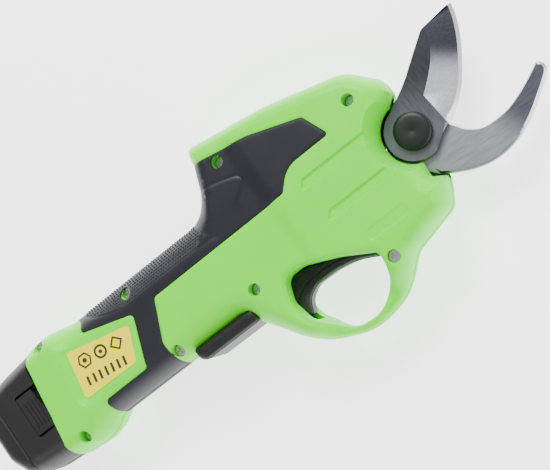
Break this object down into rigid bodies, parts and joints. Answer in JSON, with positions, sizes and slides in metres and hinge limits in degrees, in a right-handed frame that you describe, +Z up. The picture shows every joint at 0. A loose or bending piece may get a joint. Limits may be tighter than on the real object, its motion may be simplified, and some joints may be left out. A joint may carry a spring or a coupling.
{
  "type": "battery electric pruner",
  "caption": "Hand-held battery pruner with a curved moving blade, fixed hook blade, guarded finger trigger and slide-in battery pack.",
  "frame": {"origin": "bottom centre of the bounding box: the tool lies on the flat of its left housing half", "axes": "+X forward along the handle to the blades, +Y to the thumb side, +Z up through the thickness"},
  "size_m": [0.3144, 0.123, 0.048],
  "materials": {
    "green_plastic": "satin moulded lime green plastic",
    "dark_grip": "satin dark overmoulded grip",
    "black_plastic": "matte charcoal moulded plastic",
    "blade_steel": "ground and polished dark grey tool steel",
    "zinc_steel": "bright zinc-plated steel",
    "gear_steel": "machined gear steel",
    "case_aluminium": "die-cast aluminium",
    "bronze": "sintered bronze",
    "copper_windings": "wound copper on laminated steel",
    "board_green": "circuit board",
    "lead_red": "insulated wire",
    "cell_wrap": "cell sleeve",
    "yellow_label": "printed yellow film"
  },
  "bodies": {
    "body": {"buffer_capacitor": "black_plastic", "contact_blades": "zinc_steel", "controller_board": "board_green", "finger_pad": "dark_grip", "gear_case": "case_aluminium", "grip_left": "dark_grip", "grip_right": "dark_grip", "hall_sensor_board": "board_green", "hook_blade": "blade_steel", "hook_screws": "zinc_steel", "housing_left": "green_plastic", "housing_right": "green_plastic", "housing_screws": "zinc_steel", "label": "yellow_label", "motor_can": "case_aluminium", "motor_end_bell": "black_plastic", "motor_leads": "lead_red", "motor_stator": "copper_windings", "pinion_bearing_1": "gear_steel", "pinion_bearing_2": "gear_steel", "pivot_bolt": "zinc_steel", "pivot_bushing": "bronze", "pivot_cap": "black_plastic", "pivot_nut": "zinc_steel", "power_transistors": "black_plastic", "ring_gear": "gear_steel", "supply_leads": "lead_red", "terminal_block": "black_plastic", "trigger_pin": "zinc_steel", "trigger_spring": "zinc_steel"},
    "moving_jaw": {"moving_blade": "blade_steel", "bevel_sector": "gear_steel"},
    "output_shaft": {"bevel_pinion": "gear_steel", "output_carrier": "gear_steel", "output_planet_pins": "gear_steel"},
    "input_shaft": {"input_carrier": "gear_steel", "input_planet_pins": "gear_steel"},
    "rotor": {"rotor_magnet": "gear_steel", "rotor_shaft": "gear_steel"},
    "trigger_lever": {"trigger": "black_plastic", "trigger_magnet": "gear_steel"},
    "battery_pack": {"battery_case": "black_plastic", "battery_end_cap": "black_plastic", "battery_cells": "cell_wrap", "pack_board": "black_plastic"},
    "flap_right": {"battery_flap_right": "black_plastic"},
    "flap_left": {"battery_flap_left": "black_plastic"},
    "output_planet_1_wheel": {"output_planet_1": "gear_steel"},
    "output_planet_2_wheel": {"output_planet_2": "gear_steel"},
    "output_planet_3_wheel": {"output_planet_3": "gear_steel"},
    "input_planet_1_wheel": {"input_planet_1": "gear_steel"},
    "input_planet_2_wheel": {"input_planet_2": "gear_steel"},
    "input_planet_3_wheel": {"input_planet_3": "gear_steel"}
  },
  "joints": [
    {"name": "blade_pivot", "type": "hinge", "parent": "body", "child": "moving_jaw", "pos_m": [0.09275, 0.00065, 0.024], "axis": [0, 0, 1], "range_deg": [-50, 0]},
    {"name": "output_shaft_spin", "type": "hinge", "parent": "body", "child": "output_shaft", "pos_m": [0.06275, 0.00065, 0.022], "axis": [1, 0, 0], "range_deg": [-1, 151]},
    {"name": "input_shaft_spin", "type": "hinge", "parent": "body", "child": "input_shaft", "pos_m": [0.04675, 0.00065, 0.022], "axis": [1, 0, 0], "range_deg": [-5, 755]},
    {"name": "rotor_spin", "type": "hinge", "parent": "body", "child": "rotor", "pos_m": [0.01275, 0.00065, 0.022], "axis": [1, 0, 0], "range_deg": [-25, 3775]},
    {"name": "output_planet_1_spin", "type": "hinge", "parent": "output_shaft", "child": "output_planet_1_wheel", "pos_m": [0.05275, 0.00065, 0.02987], "axis": [1, 0, 0], "range_deg": [-405, 5]},
    {"name": "output_planet_2_spin", "type": "hinge", "parent": "output_shaft", "child": "output_planet_2_wheel", "pos_m": [0.05275, 0.00747, 0.01806], "axis": [1, 0, 0], "range_deg": [-405, 5]},
    {"name": "output_planet_3_spin", "type": "hinge", "parent": "output_shaft", "child": "output_planet_3_wheel", "pos_m": [0.05275, -0.00617, 0.01806], "axis": [1, 0, 0], "range_deg": [-405, 5]},
    {"name": "input_planet_1_spin", "type": "hinge", "parent": "input_shaft", "child": "input_planet_1_wheel", "pos_m": [0.04325, 0.00065, 0.02987], "axis": [1, 0, 0], "range_deg": [-2005, 5]},
    {"name": "input_planet_2_spin", "type": "hinge", "parent": "input_shaft", "child": "input_planet_2_wheel", "pos_m": [0.04325, 0.00747, 0.01806], "axis": [1, 0, 0], "range_deg": [-2005, 5]},
    {"name": "input_planet_3_spin", "type": "hinge", "parent": "input_shaft", "child": "input_planet_3_wheel", "pos_m": [0.04325, -0.00617, 0.01806], "axis": [1, 0, 0], "range_deg": [-2005, 5]},
    {"name": "trigger_squeeze", "type": "hinge", "parent": "body", "child": "trigger_lever", "pos_m": [0.05125, -0.03085, 0.024], "axis": [0, 0, 1], "range_deg": [-5, 0], "stiffness_Nm_per_rad": 0.4, "springref_deg": 5.73},
    {"name": "battery_slide", "type": "slide", "parent": "body", "child": "battery_pack", "axis": [-1, 0, 0], "range_m": [0, 0.045]},
    {"name": "flap_right_press", "type": "hinge", "parent": "battery_pack", "child": "flap_right", "pos_m": [-0.13325, 0.00265, 0.0463], "axis": [0, 1, 0], "range_deg": [0, 3], "stiffness_Nm_per_rad": 1},
    {"name": "flap_left_press", "type": "hinge", "parent": "battery_pack", "child": "flap_left", "pos_m": [-0.13325, 0.00265, 0.0017], "axis": [0, -1, 0], "range_deg": [0, 3], "stiffness_Nm_per_rad": 1}
  ],
  "couplings": [
    {"joint": "output_shaft_spin", "follows": "blade_pivot", "ratio": -3},
    {"joint": "input_shaft_spin", "follows": "blade_pivot", "ratio": -15},
    {"joint": "rotor_spin", "follows": "blade_pivot", "ratio": -75},
    {"joint": "output_planet_1_spin", "follows": "blade_pivot", "ratio": 8},
    {"joint": "output_planet_2_spin", "follows": "blade_pivot", "ratio": 8},
    {"joint": "output_planet_3_spin", "follows": "blade_pivot", "ratio": 8},
    {"joint": "input_planet_1_spin", "follows": "blade_pivot", "ratio": 40},
    {"joint": "input_planet_2_spin", "follows": "blade_pivot", "ratio": 40},
    {"joint": "input_planet_3_spin", "follows": "blade_pivot", "ratio": 40}
  ]
}
